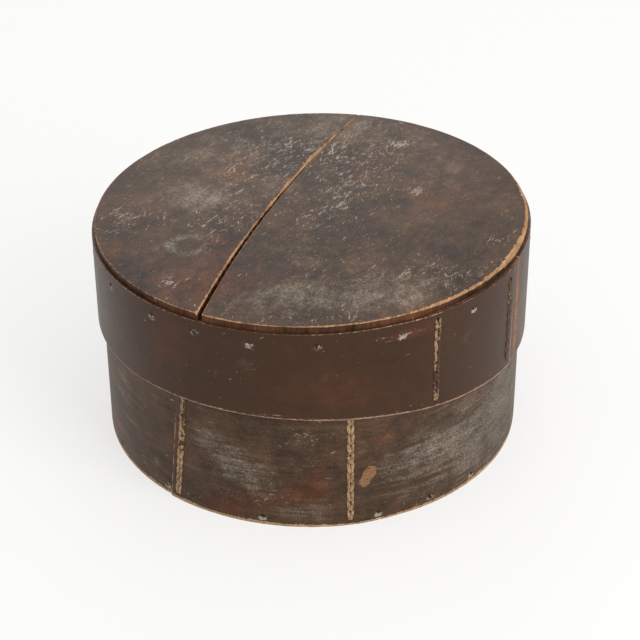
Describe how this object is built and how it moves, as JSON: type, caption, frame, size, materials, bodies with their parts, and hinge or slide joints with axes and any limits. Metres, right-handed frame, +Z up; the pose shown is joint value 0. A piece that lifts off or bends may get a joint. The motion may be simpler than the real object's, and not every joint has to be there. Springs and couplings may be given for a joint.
{
  "type": "bentwood storage box with lift-off lid",
  "caption": "Round bentwood box: laced bent strips on pegged board ends, with a deep telescoping lift-off lid whose two-board top stands proud of its band.",
  "frame": {"origin": "centre of the base's round bottom, on the surface the box stands on", "axes": "+Z up, along which the lid lifts off; -Y towards the front, where the laced seams are; +X to the right seen from the front"},
  "size_m": [0.3, 0.3009, 0.1619],
  "materials": {
    "painted_wood": "old dark brown paint, worn through at edges",
    "painted_board": "old dark brown paint, scuffed and flecked",
    "bare_board": "bare aged softwood",
    "root": "split root, worn shiny",
    "peg": "small whittled pegs, darkened"
  },
  "bodies": {
    "box": {"base_band": "painted_wood", "base_bottom_wide_board": "bare_board", "base_bottom_narrow_board": "bare_board", "base_bottom_dowels": "bare_board", "base_bottom_pegs": "peg", "base_outer_seam_root": "root", "base_inner_seam_root": "root"},
    "lid": {"lid_band": "painted_wood", "lid_wide_board": "painted_board", "lid_narrow_board": "painted_board", "lid_board_dowels": "bare_board", "lid_pegs": "peg", "lid_outer_seam_root": "root", "lid_inner_seam_root": "root"}
  },
  "joints": [
    {"name": "lid_lift", "type": "slide", "parent": "box", "child": "lid", "axis": [0, 0, 1], "range_m": [0, 0.1]}
  ]
}
